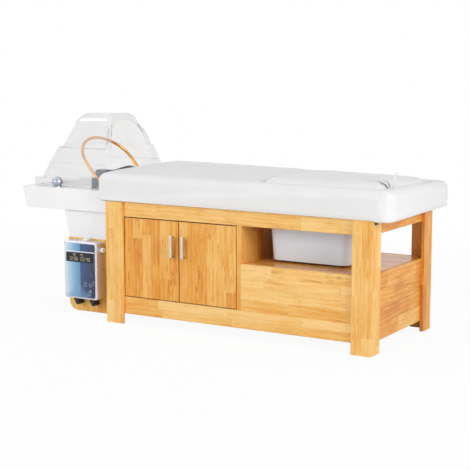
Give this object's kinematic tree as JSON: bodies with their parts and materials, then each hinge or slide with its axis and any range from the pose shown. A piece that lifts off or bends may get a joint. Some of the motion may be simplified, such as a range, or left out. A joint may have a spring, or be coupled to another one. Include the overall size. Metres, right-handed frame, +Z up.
{
  "type": "shampoo bed",
  "caption": "Wooden salon bed with a padded top, cabinet doors, a foot tub bay, a moulded head basin under a clear hood, a tilting water arch and a wall-box heater.",
  "frame": {"origin": "on the floor under the middle of the whole bed", "axes": "+X from the head basin to the foot end, -Y is the front with the doors, +Z up"},
  "size_m": [2.115, 0.72, 1.0353],
  "materials": {
    "rubberwood": "satin varnish",
    "varnished_shelf": "gloss varnish",
    "white_leather": "synthetic leather on foam",
    "brushed_nickel": "brushed",
    "chrome_metal": "polished",
    "black_steel": "powder coat",
    "black_plastic": "matt",
    "white_plastic": "gloss",
    "silver_case": "satin silver",
    "grey_plastic": "satin",
    "black_rubber": "matt",
    "grey_silicone": "satin",
    "gold_metal": "polished gold tone",
    "clear_plastic": "clear",
    "blue_panel": "gloss print",
    "black_display": "gloss"
  },
  "bodies": {
    "bed": {"arch_sockets": "grey_plastic", "basin": "white_plastic", "cabinet_floor": "rubberwood", "cheek_back": "rubberwood", "cheek_front": "rubberwood", "deck": "rubberwood", "divider": "rubberwood", "door_catch": "black_plastic", "drain_strainer": "chrome_metal", "heater_band": "white_plastic", "heater_case": "silver_case", "heater_display": "black_display", "heater_hanger": "white_plastic", "heater_panel": "blue_panel", "heater_valve_stem": "chrome_metal", "hood_collar": "clear_plastic", "hose_elbows": "black_rubber", "leg_end_foot_back": "rubberwood", "leg_end_foot_front": "rubberwood", "leg_end_head_back": "rubberwood", "leg_end_head_front": "rubberwood", "leg_face_back_foot": "rubberwood", "leg_face_back_head": "rubberwood", "leg_face_front_foot": "rubberwood", "leg_face_front_head": "rubberwood", "mattress": "white_leather", "mattress_brackets": "black_steel", "panel_back_cabinet": "rubberwood", "panel_foot": "rubberwood", "panel_head": "rubberwood", "panel_low_back": "rubberwood", "panel_low_front": "rubberwood", "pedestal": "white_plastic", "rail_bottom_back": "rubberwood", "rail_bottom_front": "rubberwood", "rail_top_back": "rubberwood", "rail_top_foot": "rubberwood", "rail_top_front": "rubberwood", "shelf": "varnished_shelf", "stile_head_front": "rubberwood", "support_shelf": "rubberwood", "tap_base": "chrome_metal"},
    "door_left": {"door_left": "rubberwood", "door_pins_left": "chrome_metal", "handle_left": "brushed_nickel"},
    "door_right": {"door_right": "rubberwood", "door_pins_right": "chrome_metal", "handle_right": "brushed_nickel"},
    "lid": {"lid_board": "rubberwood", "lid_pad": "white_leather", "pull_strap": "white_leather"},
    "tub": {"tub": "white_plastic", "tub_feet": "black_rubber"},
    "hood": {"hood_skirt": "clear_plastic", "hood_dome": "clear_plastic"},
    "arch": {"arch_pipe": "gold_metal"},
    "tap": {"tap_knob": "chrome_metal"},
    "neck_rest": {"neck_rest": "grey_silicone"},
    "valve": {"heater_valve_knob": "white_plastic"}
  },
  "joints": [
    {"name": "door_left_hinge", "type": "hinge", "parent": "bed", "child": "door_left", "pos_m": [-0.3735, -0.323, 0.34], "axis": [0, 0, -1], "range_deg": [0, 90]},
    {"name": "door_right_hinge", "type": "hinge", "parent": "bed", "child": "door_right", "pos_m": [0.2425, -0.323, 0.34], "axis": [0, 0, 1], "range_deg": [0, 90]},
    {"name": "lid_lift", "type": "slide", "parent": "bed", "child": "lid", "axis": [0, 0, 1], "range_m": [0, 0.25]},
    {"name": "tub_slide", "type": "slide", "parent": "bed", "child": "tub", "axis": [0, -1, 0], "range_m": [0, 0.5]},
    {"name": "hood_lift", "type": "slide", "parent": "bed", "child": "hood", "axis": [0, 0, 1], "range_m": [0, 0.35]},
    {"name": "arch_tilt", "type": "hinge", "parent": "bed", "child": "arch", "pos_m": [-0.6535, 0, 0.701], "axis": [0, 1, 0], "range_deg": [-10, 10]},
    {"name": "tap_turn", "type": "hinge", "parent": "bed", "child": "tap", "pos_m": [-0.8425, -0.293, 0.69], "axis": [0, 0, 1], "range_deg": [0, 180]},
    {"name": "neck_rest_lift", "type": "slide", "parent": "bed", "child": "neck_rest", "axis": [0, 0, 1], "range_m": [0, 0.1]},
    {"name": "valve_turn", "type": "hinge", "parent": "bed", "child": "valve", "pos_m": [-0.5445, -0.31, 0.356], "axis": [1, 0, 0], "range_deg": [0, 90]}
  ]
}
